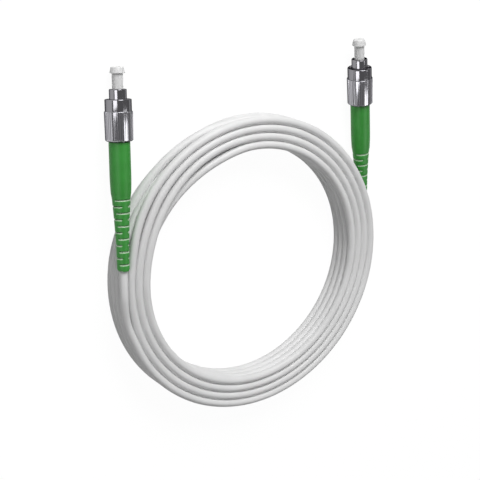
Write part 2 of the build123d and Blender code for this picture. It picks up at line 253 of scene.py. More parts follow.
# PVC jacket, extruded: an even white with a low dull sheen. Its skin has a fine grain, and its
# tone drifts a little along the cable. The grain is drawn at 0.4 mm, coarser than the real
# 0.1 mm, so that it shows.
jacket, tree, shader = new_material("extruded_white_pvc", {"Roughness": 0.5, "IOR": 1.53})
drifting_tone(tree, shader, size=11.1, detail=2.0, darker="#ECECEC", lighter="#F2F2F2")
fine_grain(tree, shader, size=0.4, detail=3.0, strength=0.08, depth=0.2)
cable_curve.materials.append(jacket)

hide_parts("cable_coil", "cable_lead_a", "cable_lead_b")
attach(cable, "root")

# Coupling nuts. Each is turned from brass bar and nickel plated: a skirt with a straight knurl
# to grip, a smooth collar in front of it, and an M8 x 0.75 thread inside. A lip at its rear runs
# on the barrel's journal.
THREAD_MINOR_R = 3.6
THREAD_START = 47.2
THREAD_MOUTH = 0.4
THREAD_PITCH = 0.75
THREAD_DEPTH = 0.38
THREAD_END = NUT_FRONT - THREAD_MOUTH
RINGS_PER_PITCH = 6
BORE_MATCH = 0.01
KNURL_R = 4.9
KNURL_FRONT = 54.85
KNURL_REAR_ROUND = 1.1
KNURL_FRONT_CHAMFER = 0.25
KNURL_TAPER = 0.12
KNURL_GROOVES = 40
GROOVE_DEPTH = 0.11
GROOVE_SHARE = 0.25
SIDES_PER_GROOVE = 8
COLLAR_R = 4.58
COLLAR_ROUND = 0.35
NUT_LIP_BORE_R = 3.15
EDGE_BREAK = 0.08
ROUND_STEPS = 6
MERGE_DISTANCE = 1e-8
SHARP_EDGE = radians(32)


def eased(outline):
    """Section outline with its corners rounded. Each corner is (radius, station, round)."""
    corners = [Vector(corner[:2]) for corner in outline]
    points = []
    for i, corner in enumerate(corners):
        size = outline[i][2]
        if not size:
            points.append(corner)
            continue
        before = corner + (corners[i - 1] - corner).normalized() * size
        after = corner + (corners[(i + 1) % len(corners)] - corner).normalized() * size
        for j in range(ROUND_STEPS + 1):
            t = j / ROUND_STEPS
            points.append(before * (1 - t) ** 2 + corner * 2 * t * (1 - t) + after * t * t)
    return points


def finished(name, shape):
    """Mesh with this name, from a bmesh shape that is used up."""
    mesh = bpy.data.meshes.new(name)
    shape.to_mesh(mesh)
    shape.free()
    return mesh


def turned(name, points, sides):
    """Object turned about its Z axis from a closed outline, up the outside and down the inside."""
    shape = bmesh.new()
    rings = []
    for radius, station in points:
        ring = []
        for k in range(sides):
            angle = 2 * pi * k / sides
            ring.append(shape.verts.new(Vector((radius * cos(angle), radius * sin(angle), station)) * MM))
        rings.append(ring)
    for i, ring in enumerate(rings):
        after = (i + 1) % len(rings)
        if max(points[i][0], points[after][0]) == 0:
            continue
        for k in range(sides):
            n = (k + 1) % sides
            shape.faces.new((ring[k], ring[n], rings[after][n], rings[after][k]))
    bmesh.ops.remove_doubles(shape, verts=shape.verts, dist=MERGE_DISTANCE)
    return in_scene(name, finished(name, shape))


def start_tree(name, sizes, finishes=("Finish",)):
    """A geometry tree with its inputs: the mesh it works on, named sizes and finishes."""
    tree = bpy.data.node_groups.new(name, "GeometryNodeTree")
    tree.interface.new_socket("Geometry", in_out="INPUT", socket_type="NodeSocketGeometry")
    for size, value in sizes.items():
        kind = "NodeSocketInt" if isinstance(value, int) else "NodeSocketFloat"
        tree.interface.new_socket(size, in_out="INPUT", socket_type=kind).default_value = value
    for finish in finishes:
        tree.interface.new_socket(finish, in_out="INPUT", socket_type="NodeSocketMaterial")
    tree.interface.new_socket("Geometry", in_out="OUTPUT", socket_type="NodeSocketGeometry")
    return tree, tree.nodes.new("NodeGroupInput").outputs


def from_axis(tree):
    """A mesh's points as the tree finds them: position, its parts, and distance from the axis."""
    where = add(tree, "GeometryNodeInputPosition")
    parts = add(tree, "ShaderNodeSeparateXYZ", {"Vector": where}).outputs
    flat = add(tree, "ShaderNodeCombineXYZ", {"X": parts["X"], "Y": parts["Y"]})
    radius = add(tree, "ShaderNodeVectorMath", {0: flat}, operation="LENGTH").outputs["Value"]
    return where, parts, radius


def to_radius(tree, geometry, where, radius, wanted):
    """Moves the points of a mesh out or in, to the wanted distance from the axis."""
    share = add(tree, "ShaderNodeMath", {0: wanted, 1: radius}, operation="DIVIDE")
    spread = add(tree, "ShaderNodeCombineXYZ", {"X": share, "Y": share, "Z": 1.0})
    moved = add(tree, "ShaderNodeVectorMath", {0: where, 1: spread}, operation="MULTIPLY")
    return add(tree, "GeometryNodeSetPosition", {"Geometry": geometry, "Position": moved})


def end_tree(tree, geometry, finish, part=None, part_finish=None):
    """Closes a geometry tree: real faces with their finish, and a part of them with another."""
    done = add(tree, "GeometryNodeRealizeInstances", {"Geometry": geometry})
    done = add(tree, "GeometryNodeSetMaterial", {"Geometry": done, "Material": finish})
    if part:
        inputs = {"Geometry": done, "Selection": part, "Material": part_finish}
        done = add(tree, "GeometryNodeSetMaterial", inputs)
    add(tree, "NodeGroupOutput", {"Geometry": done})


def take_result(piece, modifier):
    """Leaves what a modifier makes of a piece as its plain mesh."""
    bpy.context.view_layer.update()
    mesh = bpy.data.meshes.new_from_object(piece.evaluated_get(bpy.context.evaluated_depsgraph_get()))
    piece.modifiers.remove(modifier)
    piece.data = mesh


def grown(piece, tree, finishes):
    """Runs a geometry tree on a piece once, with these finishes."""
    modifier = piece.modifiers.new("grow", "NODES")
    modifier.node_group = tree
    for socket in tree.interface.items_tree:
        if socket.in_out == "INPUT" and socket.name in finishes:
            modifier[socket.identifier] = finishes[socket.name]
    take_result(piece, modifier)


def seat(piece, side):
    """Moves a piece's mesh to its connector, smooth but for its sharp edges."""
    piece.data.transform(places[side])
    piece.data.shade_smooth()
    piece.data.set_sharp_from_angle(angle=SHARP_EDGE)


def axis_noise(tree, side, sizes, detail):
    """Noise of three sizes in millimetres: twice across a connector's axis, and along it."""
    where = add(tree, "ShaderNodeTexCoord").outputs["Object"]
    turned_to_axis = add(
        tree,
        "ShaderNodeMapping",
        {"Vector": where, "Location": places[side].translation, "Rotation": places[side].to_euler()},
        vector_type="TEXTURE",
    )
    scale = [1 / (size * MM) for size in sizes]
    scaled = add(tree, "ShaderNodeVectorMath", {0: turned_to_axis, 1: scale}, operation="MULTIPLY")
    return add(tree, "ShaderNodeTexNoise", {"Vector": scaled, "Scale": 1.0, "Detail": detail})


# Nickel plate on turned brass. The smooth parts are polished, with dark, clear reflections that
# the lathe's fine rings draw out a little. The rolled knurl is paler, with marks along it. The
# rings are 0.025 mm apart and the marks 0.08 mm wide, too fine to be seen one by one. Soft
# smears dull both a little. Each finish has a colour, a least and a most roughness, and the size
# and strength of its marks.
SMEAR_SIZE = (0.5, 0.5, 0.8)
MARK_DETAIL = 2.0
SMEAR_DETAIL = 3.0
PLATE_RELIEF = 0.03
# Painted shade: a near-black edge tint darkens the metal's reflections along its rims.
PLATE_PAINTED_DARK_RIM = "#141415"
plate_finishes = {
    "polished_nickel_plate": ("#8C8B8F", (0.06, 0.11), (3.333, 3.333, 0.025), 0.08),
    "knurled_nickel_plate": ("#AEADB2", (0.08, 0.12), (0.08, 0.08, 3.333), 0.025),
}
nickel = {}
for side in CONNECTORS:
    for finish, (colour, roughness, mark_size, mark_strength) in plate_finishes.items():
        nickel[finish, side], tree, shader = new_material(
            f"{finish}_{side}",
            {"Base Color": linear(colour), "Metallic": 1.0, "Specular Tint": linear(PLATE_PAINTED_DARK_RIM)},
        )
        marks = axis_noise(tree, side, mark_size, MARK_DETAIL)
        smear = axis_noise(tree, side, SMEAR_SIZE, SMEAR_DETAIL)
        dull = add(
            tree,
            "ShaderNodeMapRange",
            {
                "Value": smear,
                "From Min": NOISE_LOW,
                "From Max": NOISE_HIGH,
                "To Min": roughness[0],
                "To Max": roughness[1],
            },
        )
        tree.links.new(dull.outputs["Result"], shader.inputs["Roughness"])
        relief = add(
            tree,
            "ShaderNodeBump",
            {"Height": marks, "Strength": mark_strength, "Distance": PLATE_RELIEF * MM},
        )
        tree.links.new(relief.outputs["Normal"], shader.inputs["Normal"])

# The knurl's grooves are cut along the nut, and the thread winds up its bore.
knurl_tree, sockets = start_tree(
    "knurl_and_thread",
    {
        "Grooves": KNURL_GROOVES,
        "Groove Depth": GROOVE_DEPTH * MM,
        "Knurl Radius": KNURL_R * MM,
        "Knurl Taper": KNURL_TAPER * MM,
        "Thread Pitch": THREAD_PITCH * MM,
        "Thread Depth": THREAD_DEPTH * MM,
        "Thread Radius": THREAD_MINOR_R * MM,
        "Thread Start": (THREAD_START + THREAD_PITCH) * MM,
        "Thread End": THREAD_END * MM,
        "Knurl Front": KNURL_FRONT * MM,
    },
    finishes=("Polished", "Knurled"),
)
where, parts, radius = from_axis(knurl_tree)
angle = add(knurl_tree, "ShaderNodeMath", {0: parts["Y"], 1: parts["X"]}, operation="ARCTAN2")
turns = add(knurl_tree, "ShaderNodeMath", {0: angle, 1: 2 * pi}, operation="DIVIDE")
beat = add(knurl_tree, "ShaderNodeMath", {0: turns, 1: sockets["Grooves"]}, operation="MULTIPLY")
away = add(knurl_tree, "ShaderNodeMath", {0: beat, 1: 0.5}, operation="PINGPONG")
# A groove is a V over a quarter of each pitch, and the knurl narrows a little to its rear.
vee = add(
    knurl_tree,
    "ShaderNodeMapRange",
    {
        "Value": away,
        "From Min": 0.0,
        "From Max": GROOVE_SHARE / 2,
        "To Min": sockets["Groove Depth"],
        "To Max": 0.0,
    },
)
narrower = add(
    knurl_tree,
    "ShaderNodeMapRange",
    {
        "Value": parts["Z"],
        "From Min": NUT_REAR * MM,
        "From Max": sockets["Knurl Front"],
        "To Min": sockets["Knurl Taper"],
        "To Max": 0.0,
    },
)
land = add(knurl_tree, "ShaderNodeMath", {0: sockets["Knurl Radius"], 1: narrower}, operation="SUBTRACT")
limit = add(knurl_tree, "ShaderNodeMath", {0: land, 1: vee}, operation="SUBTRACT")
cut = add(knurl_tree, "ShaderNodeMath", {0: radius, 1: limit}, operation="MINIMUM")
climb = add(knurl_tree, "ShaderNodeMath", {0: parts["Z"], 1: sockets["Thread Pitch"]}, operation="DIVIDE")
lead = add(knurl_tree, "ShaderNodeMath", {0: climb, 1: turns}, operation="SUBTRACT")
tooth = add(knurl_tree, "ShaderNodeMath", {0: lead, 1: 0.5}, operation="PINGPONG")
full = add(knurl_tree, "ShaderNodeMath", {0: tooth, 1: 2.0}, operation="MULTIPLY")
# The thread is cut out of the bore. It deepens over its first pitch and ends short of the mouth.
run_in = add(
    knurl_tree,
    "ShaderNodeMapRange",
    {
        "Value": parts["Z"],
        "From Min": sockets["Thread Start"],
        "From Max": (THREAD_START + 2 * THREAD_PITCH) * MM,
        "To Min": 0.0,
        "To Max": sockets["Thread Depth"],
    },
)
in_bore = add(
    knurl_tree,
    "ShaderNodeMath",
    {0: radius, 1: sockets["Thread Radius"], 2: BORE_MATCH * MM},
    operation="COMPARE",
)
before_end = add(
    knurl_tree, "ShaderNodeMath", {0: parts["Z"], 1: sockets["Thread End"]}, operation="LESS_THAN"
)
inside = add(knurl_tree, "ShaderNodeMath", {0: in_bore, 1: before_end}, operation="MULTIPLY")
deep = add(knurl_tree, "ShaderNodeMath", {0: run_in, 1: inside}, operation="MULTIPLY")
wanted = add(knurl_tree, "ShaderNodeMath", {0: full, 1: deep, 2: cut}, operation="MULTIPLY_ADD")
shaped = to_radius(knurl_tree, sockets["Geometry"], where, radius, wanted)
on_knurl = add(
    knurl_tree, "ShaderNodeMath", {0: parts["Z"], 1: sockets["Knurl Front"]}, operation="LESS_THAN"
)
end_tree(knurl_tree, shaped, sockets["Polished"], on_knurl, sockets["Knurled"])

nut_outline = eased(
    [
        (NUT_LIP_BORE_R, NUT_REAR, EDGE_BREAK),
        (KNURL_R, NUT_REAR, KNURL_REAR_ROUND),
        (KNURL_R, KNURL_FRONT, KNURL_FRONT_CHAMFER),
        (COLLAR_R, KNURL_FRONT, 0),
        (COLLAR_R, NUT_FRONT, COLLAR_ROUND),
        (THREAD_MINOR_R + THREAD_MOUTH, NUT_FRONT, EDGE_BREAK),
    ]
)
thread_rings = int((THREAD_END - THREAD_START) / THREAD_PITCH * RINGS_PER_PITCH)
for i in range(thread_rings + 1):
    nut_outline.append(Vector((THREAD_MINOR_R, THREAD_END - i * THREAD_PITCH / RINGS_PER_PITCH)))
nut_outline += [Vector((THREAD_MINOR_R, THREAD_START)), Vector((NUT_LIP_BORE_R, THREAD_START))]

for side in CONNECTORS:
    nut = turned(f"coupling_nut_shell_{side}", nut_outline, KNURL_GROOVES * SIDES_PER_GROOVE)
    nut_finishes = {
        "Polished": nickel["polished_nickel_plate", side],
        "Knurled": nickel["knurled_nickel_plate", side],
    }
    grown(nut, knurl_tree, nut_finishes)
    seat(nut, side)
    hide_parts(f"coupling_nut_{side}")
    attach(nut, f"nut_{side}")

# Key barrels. Each is turned brass, nickel plated, with a rounded nose that goes into an
# adapter, a key milled on one side, and a flange that holds the nut on. The ferrule stands in
# its bore.
BARREL_R = 3.0
BARREL_FRONT = 62.3
BARREL_REAR = 43.0
BARREL_JOURNAL_R = 3.05
BARREL_FLANGE_R = 3.5
BARREL_FLANGE = (47.3, 49.0)
BARREL_ROUND = 0.35
BARREL_SIDES = 128
FRONT_BORE_R = 2.35
BARREL_LIP = (55.2, 56.2)
LIP_BORE_R = 1.45
SPRING_BORE_R = 2.3
KEY_WIDTH = 2.1
KEY_R = 3.5
KEY_SEAT_R = (FRONT_BORE_R + BARREL_R) / 2
KEY_STATIONS = (55.5, 60.8)
KEY_STEPS = 8

barrel_outline = eased(
    [
        (BARREL_JOURNAL_R, BARREL_REAR, EDGE_BREAK),
        (BARREL_JOURNAL_R, BARREL_FLANGE[0], 0),
        (BARREL_FLANGE_R, BARREL_FLANGE[0], EDGE_BREAK),
        (BARREL_FLANGE_R, BARREL_FLANGE[1], EDGE_BREAK),
        (BARREL_R, BARREL_FLANGE[1], 0),
        (BARREL_R, BARREL_FRONT, BARREL_ROUND),
        (FRONT_BORE_R, BARREL_FRONT, EDGE_BREAK),
        (FRONT_BORE_R, BARREL_LIP[1], 0),
        (LIP_BORE_R, BARREL_LIP[1], EDGE_BREAK),
        (LIP_BORE_R, BARREL_LIP[0], EDGE_BREAK),
        (SPRING_BORE_R, BARREL_LIP[0], 0),
        (SPRING_BORE_R, BARREL_REAR, EDGE_BREAK),
    ]
)
for side in CONNECTORS:
    barrel = turned(f"barrel_{side}", barrel_outline, BARREL_SIDES)
    shape = bmesh.new()
    section = []
    for radius, order in ((KEY_R, range(KEY_STEPS + 1)), (KEY_SEAT_R, range(KEY_STEPS, -1, -1))):
        for i in order:
            x = KEY_WIDTH * (i / KEY_STEPS - 0.5)
            section.append(Vector((x, sqrt(radius * radius - x * x), KEY_STATIONS[0])) * MM)
    face = shape.faces.new([shape.verts.new(point) for point in section])
    pushed = bmesh.ops.extrude_face_region(shape, geom=[face])["geom"]
    rise = Vector((0, 0, KEY_STATIONS[1] - KEY_STATIONS[0])) * MM
    bmesh.ops.translate(shape, vec=rise, verts=[v for v in pushed if isinstance(v, bmesh.types.BMVert)])
    bmesh.ops.recalc_face_normals(shape, faces=shape.faces)
    key = in_scene("key", finished("key", shape))
    union = barrel.modifiers.new("key", "BOOLEAN")
    union.operation = "UNION"
    union.solver = "EXACT"
    union.object = key
    take_result(barrel, union)
    bpy.data.objects.remove(key)
    barrel.data.materials.clear()
    barrel.data.materials.append(nickel["polished_nickel_plate", side])
    seat(barrel, side)
    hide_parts(f"key_barrel_{side}")
    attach(barrel, "root")

# Boots. Each is moulded in green thermoplastic elastomer: a smooth grip, a shoulder, and a
# slender tail with crossed rows of slots, where the real boot bends with the cable. The white
# jacket shows through the slots. The flare, neck, waist and grip are each a radius and a station.
BOOT_LENGTH = 44.5
BOOT_TAIL_R = 2.2
BOOT_TAIL_ROUND = 0.2
BOOT_TAIL_RING = 0.6
BOOT_FLARE = (2.4, 12.0)
BOOT_NECK = (3.25, 25.6)
BOOT_WAIST = (3.5, 27.0)
BOOT_GRIP = (3.7, 33.0)
BOOT_GRIP_RING = 1.0
BOOT_GRIP_STEPS = 8
BOOT_EDGE_ROUND = 0.25
BOOT_BORE_ROUND = 0.1
BOOT_FRONT_BORE_R = 3.1
BOOT_POCKET_R = 2.5
BOOT_POCKET = (26.75, 37.75)
BOOT_CABLE_BORE_R = 1.55
BOOT_SKIN_R = 1.9
BOOT_SIDES = 96
SLOT_ROWS = 11
SLOT_FIRST = 2.33
SLOT_PITCH = 2.25
SLOT_CUT = 0.3
SLOT_BRIDGE = 2.0
SLOT_REACH = 4.0
SLOT_EASE_START = 0.4
SLOT_EASE_MIDDLE = 0.25
SLOT_EASE_SLOPE = 0.42
SLOT_EASE_FADE = 0.4
SLOT_RING_SHARES = (0.2, 0.8)
LIP_LEAN = 0.2


def tail_radius(station):
    """Radius of the boot's tail: one parabola through its end, its flare and its neck."""
    known = [(BOOT_TAIL_R, 0.0), BOOT_FLARE, BOOT_NECK]
    total = 0
    for i, (radius, place) in enumerate(known):
        first, second = [s for j, (_, s) in enumerate(known) if j != i]
        total += radius * (station - first) * (station - second) / ((place - first) * (place - second))
    return total


# The elastomer is moulded, with a satin skin whose tone drifts a little. The slots' lips get a
# pale copy of it, a painted highlight along each slot. The mould's spark-eroded grain is
# drawn at 0.25 mm, coarser than the real one, so that it shows. Each has a darker and a lighter
# tone, and a roughness.
elastomers = {
    "moulded_green_elastomer": ("#299028", "#2F9A30", 0.48),
    # Painted highlight: a pale green for the slots' lips.
    "pale_lip_painted_highlight": ("#AFD1AB", "#B9D7B5", 0.45),
}
boot_finishes = []
for name, (darker, lighter, roughness) in elastomers.items():
    finish, tree, shader = new_material(name, {"Roughness": roughness, "IOR": 1.5})
    drifting_tone(tree, shader, size=4.55, detail=3.0, darker=darker, lighter=lighter)
    fine_grain(tree, shader, size=0.25, detail=2.0, strength=0.12, depth=0.1)
    boot_finishes.append(finish)

# Each row is cut by a pair of blades, one each side of the bridge, and every other row is
# turned by a quarter. Before that, the edge that faces the connector is eased back along each
# slot, so that it catches the light.
slot_tree, sockets = start_tree(
    "boot_slots",
    {
        "Rows": SLOT_ROWS,
        "First": SLOT_FIRST * MM,
        "Pitch": SLOT_PITCH * MM,
        "Cut": SLOT_CUT * MM,
        "Bridge": SLOT_BRIDGE * MM,
        "Reach": SLOT_REACH * MM,
        "Ease Start": SLOT_EASE_START * MM,
        "Ease Middle": SLOT_EASE_MIDDLE * MM,
        "Ease Slope": SLOT_EASE_SLOPE,
        "Neck": BOOT_NECK[1] * MM,
    },
    # The second finish is the pale painted highlight on the slots' lips.
    finishes=("Finish", "Painted Highlight Finish"),
)
where, parts, radius = from_axis(slot_tree)
from_first = add(slot_tree, "ShaderNodeMath", {0: parts["Z"], 1: sockets["First"]}, operation="SUBTRACT")
in_rows = add(slot_tree, "ShaderNodeMath", {0: from_first, 1: sockets["Pitch"]}, operation="DIVIDE")
row = add(slot_tree, "ShaderNodeMath", {0: in_rows}, operation="ROUND")
off_row = add(slot_tree, "ShaderNodeMath", {0: in_rows, 1: row}, operation="SUBTRACT")
past_row = add(slot_tree, "ShaderNodeMath", {0: off_row, 1: sockets["Pitch"]}, operation="MULTIPLY")
# The edge is eased by two slopes, one from its start and as much again from its middle.
drops = []
for begin in ("Ease Start", "Ease Middle"):
    run = add(slot_tree, "ShaderNodeMath", {0: past_row, 1: sockets[begin]}, operation="ADD")
    drops.append(add(slot_tree, "ShaderNodeMath", {0: run, 1: 0.0}, operation="MAXIMUM"))
both_drops = add(slot_tree, "ShaderNodeMath", {0: drops[0], 1: drops[1]}, operation="ADD")
eased_by = add(slot_tree, "ShaderNodeMath", {0: both_drops, 1: sockets["Ease Slope"]}, operation="MULTIPLY")
# It is eased only up to the slot's middle, beside the bridge, in the rows, and on the skin.
before_slot = add(slot_tree, "ShaderNodeMath", {0: past_row, 1: SLOT_CUT / 2 * MM}, operation="LESS_THAN")
half_bridge = add(slot_tree, "ShaderNodeMath", {0: sockets["Bridge"], 1: 0.5}, operation="MULTIPLY")
odd = add(slot_tree, "ShaderNodeMath", {0: row, 1: 2.0}, operation="FLOORED_MODULO")
crossways = add(
    slot_tree, "ShaderNodeMix", {"Factor": odd, "A": parts["Y"], "B": parts["X"]}, data_type="FLOAT"
)
out_by = add(slot_tree, "ShaderNodeMath", {0: crossways}, operation="ABSOLUTE")
past_bridge = add(slot_tree, "ShaderNodeMath", {0: out_by, 1: half_bridge}, operation="SUBTRACT")
fade = add(
    slot_tree,
    "ShaderNodeMapRange",
    {"Value": past_bridge, "From Min": 0.0, "From Max": SLOT_EASE_FADE * MM},
)
in_a_row = add(slot_tree, "ShaderNodeMath", {0: row, 1: sockets["Rows"]}, operation="LESS_THAN")
on_skin = add(slot_tree, "ShaderNodeMath", {0: radius, 1: BOOT_SKIN_R * MM}, operation="GREATER_THAN")
for share in (before_slot, fade, in_a_row, on_skin):
    eased_by = add(slot_tree, "ShaderNodeMath", {0: eased_by, 1: share}, operation="MULTIPLY")
wanted = add(slot_tree, "ShaderNodeMath", {0: radius, 1: eased_by}, operation="SUBTRACT")
eased_shell = to_radius(slot_tree, sockets["Geometry"], where, radius, wanted)

half_cut = add(slot_tree, "ShaderNodeMath", {0: sockets["Cut"], 1: 0.5}, operation="MULTIPLY")
first_blade = add(slot_tree, "ShaderNodeMath", {0: sockets["First"], 1: half_cut}, operation="ADD")
start = add(slot_tree, "ShaderNodeCombineXYZ", {"Z": first_blade})
stride = add(slot_tree, "ShaderNodeCombineXYZ", {"Z": sockets["Pitch"]})
rows = add(
    slot_tree,
    "GeometryNodeMeshLine",
    {"Count": sockets["Rows"], "Start Location": start, "Offset": stride},
)
wide = add(slot_tree, "ShaderNodeMath", {0: sockets["Reach"], 1: 2.0}, operation="MULTIPLY")
blade_size = add(slot_tree, "ShaderNodeCombineXYZ", {"X": wide, "Y": sockets["Reach"], "Z": sockets["Cut"]})
blade = add(slot_tree, "GeometryNodeMeshCube", {"Size": blade_size})
spacing = add(slot_tree, "ShaderNodeMath", {0: sockets["Reach"], 1: sockets["Bridge"]}, operation="ADD")
pair = add(slot_tree, "GeometryNodeJoinGeometry")
for half in (0.5, -0.5):
    aside = add(slot_tree, "ShaderNodeMath", {0: spacing, 1: half}, operation="MULTIPLY")
    offset = add(slot_tree, "ShaderNodeCombineXYZ", {"Y": aside})
    placed = add(slot_tree, "GeometryNodeTransform", {"Geometry": blade, "Translation": offset})
    slot_tree.links.new(placed.outputs["Geometry"], pair.inputs["Geometry"])
index = add(slot_tree, "GeometryNodeInputIndex")
quarter = add(slot_tree, "ShaderNodeMath", {0: index, 1: pi / 2}, operation="MULTIPLY")
crossed = add(slot_tree, "ShaderNodeCombineXYZ", {"Z": quarter})
blades = add(
    slot_tree,
    "GeometryNodeInstanceOnPoints",
    {"Points": rows, "Instance": pair, "Rotation": crossed},
)
solid_blades = add(slot_tree, "GeometryNodeRealizeInstances", {"Geometry": blades})
slotted = add(
    slot_tree,
    "GeometryNodeMeshBoolean",
    {"Mesh 1": eased_shell, "Mesh 2": solid_blades},
    operation="DIFFERENCE",
    solver="EXACT",
)
# The lips are the faces before the neck that lean towards the connector. They get the pale painted
# highlight finish.
normal = add(slot_tree, "GeometryNodeInputNormal")
lean = add(slot_tree, "ShaderNodeSeparateXYZ", {"Vector": normal}).outputs["Z"]
leaning = add(slot_tree, "ShaderNodeMath", {0: lean, 1: LIP_LEAN}, operation="GREATER_THAN")
before_neck = add(slot_tree, "ShaderNodeMath", {0: parts["Z"], 1: sockets["Neck"]}, operation="LESS_THAN")
painted_highlight_lips = add(slot_tree, "ShaderNodeMath", {0: leaning, 1: before_neck}, operation="MULTIPLY")
end_tree(slot_tree, slotted, sockets["Finish"], painted_highlight_lips, sockets["Painted Highlight Finish"])

# The tail has rings where each slot's eased edge starts and bends, inside the slot, and midway
# to the next.
boot_outline = eased(
    [
        (BOOT_CABLE_BORE_R, 0, BOOT_BORE_ROUND),
        (BOOT_TAIL_R, 0, BOOT_TAIL_ROUND),
        (tail_radius(BOOT_TAIL_RING), BOOT_TAIL_RING, 0),
    ]
)
ring_shifts = [-SLOT_EASE_START, -SLOT_EASE_MIDDLE]
ring_shifts += [share * SLOT_CUT for share in SLOT_RING_SHARES]
ring_shifts.append(SLOT_PITCH / 2)
for i in range(SLOT_ROWS):
    for shift in ring_shifts:
        station = SLOT_FIRST + i * SLOT_PITCH + shift
        if station < BOOT_NECK[1]:
            boot_outline.append(Vector((tail_radius(station), station)))
boot_outline.append(Vector(BOOT_NECK))
for i in range(BOOT_GRIP_STEPS + 1):
    share = i / BOOT_GRIP_STEPS
    swell = (BOOT_GRIP[0] - BOOT_WAIST[0]) * sin(pi / 2 * share)
    station = BOOT_WAIST[1] + (BOOT_GRIP[1] - BOOT_WAIST[1]) * share
    boot_outline.append(Vector((BOOT_WAIST[0] + swell, station)))
boot_outline += eased(
    [
        (BOOT_GRIP[0], BOOT_GRIP[1] + BOOT_GRIP_RING, 0),
        (BOOT_GRIP[0], BOOT_LENGTH, BOOT_EDGE_ROUND),
        (BOOT_FRONT_BORE_R, BOOT_LENGTH, BOOT_BORE_ROUND),
        (BOOT_FRONT_BORE_R, BOOT_POCKET[1], 0),
        (BOOT_POCKET_R, BOOT_POCKET[1], 0),
        (BOOT_POCKET_R, BOOT_POCKET[0], 0),
        (BOOT_CABLE_BORE_R, BOOT_POCKET[0], 0),
    ]
)
for side in CONNECTORS:
    boot = turned(f"slotted_boot_{side}", boot_outline, BOOT_SIDES)
    # The lips get the pale painted highlight finish.
    grown(boot, slot_tree, dict(zip(("Finish", "Painted Highlight Finish"), boot_finishes)))
    seat(boot, side)
    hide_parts(f"boot_{side}")
    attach(boot, "root")

# Dust caps. Each is moulded in soft milky polyethylene: a tube that grips the ferrule inside
# the barrel, and a tapered head to pull it off by. Light passes a little way into it.
CAP_REAR = 57.3
CAP_TUBE_R = 1.9
CAP_BORE_R = 1.27
CAP_BORE_END = 67.6
CAP_HEAD = 67.55
CAP_HEAD_R = 2.65
CAP_HEAD_ROUND = 0.15
CAP_TOP = 69.75
CAP_TOP_R = 2.15
CAP_TOP_ROUND = 0.4
CAP_SIDES = 96

milky, tree, shader = new_material(
    "moulded_milky_polyethylene",
    {
        "Base Color": linear("#ECECEC"),
        "Roughness": 0.36,
        "IOR": 1.51,
        "Subsurface Weight": 0.3,
        "Subsurface Radius": (1.0, 1.0, 1.0),
        "Subsurface Scale": 0.5 * MM,
    },
)
fine_grain(tree, shader, size=1.11, detail=2.0, strength=0.1, depth=0.2)

cap_outline = eased(
    [
        (CAP_BORE_R, CAP_REAR, EDGE_BREAK),
        (CAP_TUBE_R, CAP_REAR, EDGE_BREAK),
        (CAP_TUBE_R, CAP_HEAD, CAP_HEAD_ROUND),
        (CAP_HEAD_R, CAP_HEAD, CAP_HEAD_ROUND),
        (CAP_TOP_R, CAP_TOP, CAP_TOP_ROUND),
        (0, CAP_TOP, 0),
        (0, CAP_BORE_END, 0),
        (CAP_BORE_R, CAP_BORE_END, 0),
    ]
)
for side in CONNECTORS:
    cap = turned(f"pull_cap_{side}", cap_outline, CAP_SIDES)
    cap.data.materials.append(milky)
    seat(cap, side)
    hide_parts(f"dust_cap_{side}")
    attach(cap, f"cap_{side}")

# Springs. Each is wound from 0.4 mm steel wire and stands between the rear body and the
# ferrule's flange, inside the barrel.
SPRING_START = 45.2
SPRING_END = 51.65
SPRING_MEAN_R = 1.9
SPRING_WIRE_R = 0.2
SPRING_TURNS = 5.5
SPRING_STEPS = 40
WIRE_SIDES = 14

wire, tree, shader = new_material(
    "drawn_spring_steel",
    {"Base Color": linear("#B4B4B6"), "Metallic": 1.0, "Roughness": 0.28},
)
fine_grain(tree, shader, size=0.333, detail=2.0, strength=0.15, depth=0.03)

spring_tree, sockets = start_tree(
    "spring_coils",
    {
        "Turns": SPRING_TURNS,
        "Mean Radius": SPRING_MEAN_R * MM,
        "Wire Radius": SPRING_WIRE_R * MM,
        "Height": (SPRING_END - SPRING_START - 2 * SPRING_WIRE_R) * MM,
        "Base": (SPRING_START + SPRING_WIRE_R) * MM,
    },
)
helix = add(
    spring_tree,
    "GeometryNodeCurveSpiral",
    {
        "Resolution": SPRING_STEPS,
        "Rotations": sockets["Turns"],
        "Start Radius": sockets["Mean Radius"],
        "End Radius": sockets["Mean Radius"],
        "Height": sockets["Height"],
    },
)
section = add(
    spring_tree,
    "GeometryNodeCurvePrimitiveCircle",
    {"Resolution": WIRE_SIDES, "Radius": sockets["Wire Radius"]},
)
coils = add(
    spring_tree,
    "GeometryNodeCurveToMesh",
    {"Curve": helix, "Profile Curve": section, "Fill Caps": True},
)
lift = add(spring_tree, "ShaderNodeCombineXYZ", {"Z": sockets["Base"]})
raised = add(spring_tree, "GeometryNodeTransform", {"Geometry": coils, "Translation": lift})
end_tree(spring_tree, raised, sockets["Finish"])

for side in CONNECTORS:
    spring = in_scene(f"spring_{side}", bpy.data.meshes.new("spring"))
    grown(spring, spring_tree, {"Finish": wire})
    seat(spring, side)
    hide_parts(f"ferrule_spring_{side}")
    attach(spring, "root")
    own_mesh(spring)

